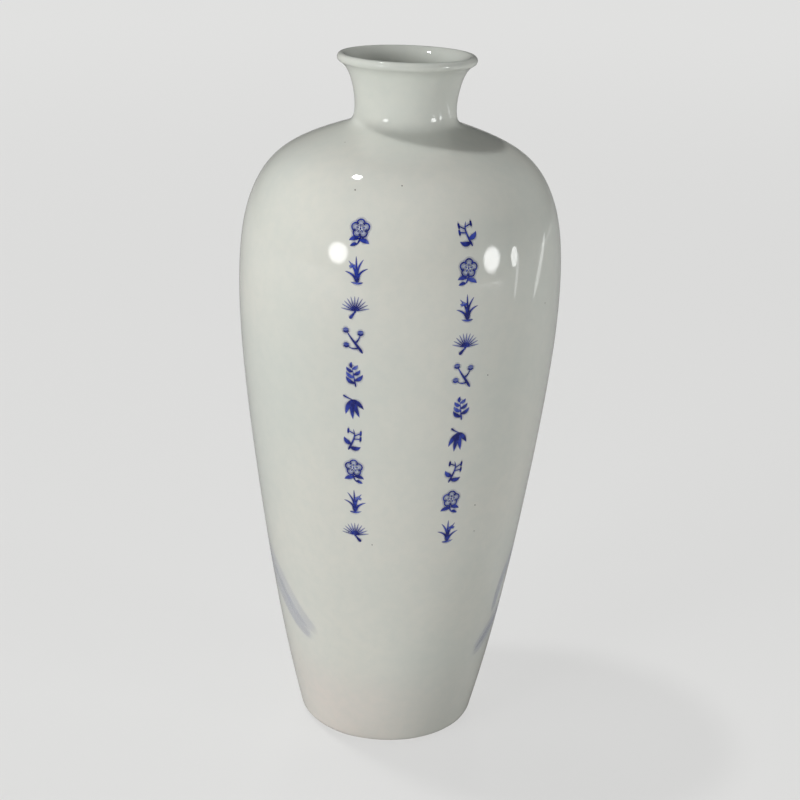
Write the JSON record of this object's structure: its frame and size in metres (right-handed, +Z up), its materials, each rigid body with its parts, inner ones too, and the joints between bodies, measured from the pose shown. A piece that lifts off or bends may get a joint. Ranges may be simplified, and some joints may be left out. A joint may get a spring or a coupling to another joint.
{
  "type": "meiping vase",
  "caption": "Tall porcelain plum vase with a small rolled lip, short waisted neck, full shoulder and tapering body on a foot ring.",
  "frame": {"origin": "centre of the foot ring, in the plane that the vase stands on", "axes": "+Z up along the vase's axis; the painted front faces -Y"},
  "size_m": [0.1138, 0.1138, 0.25],
  "materials": {
    "porcelain": "bare fired porcelain, smooth and matt",
    "slip": "fired slip, matt",
    "glaze": "clear glossy glaze with a faint grey-green tint over white porcelain and underglaze blue"
  },
  "bodies": {
    "root": {"lower_body": "porcelain", "body_joint_slip": "slip", "upper_body": "porcelain", "neck_joint_slip": "slip", "neck": "porcelain", "outer_glaze": "glaze", "inner_glaze": "glaze", "base_glaze": "glaze"}
  },
  "joints": []
}
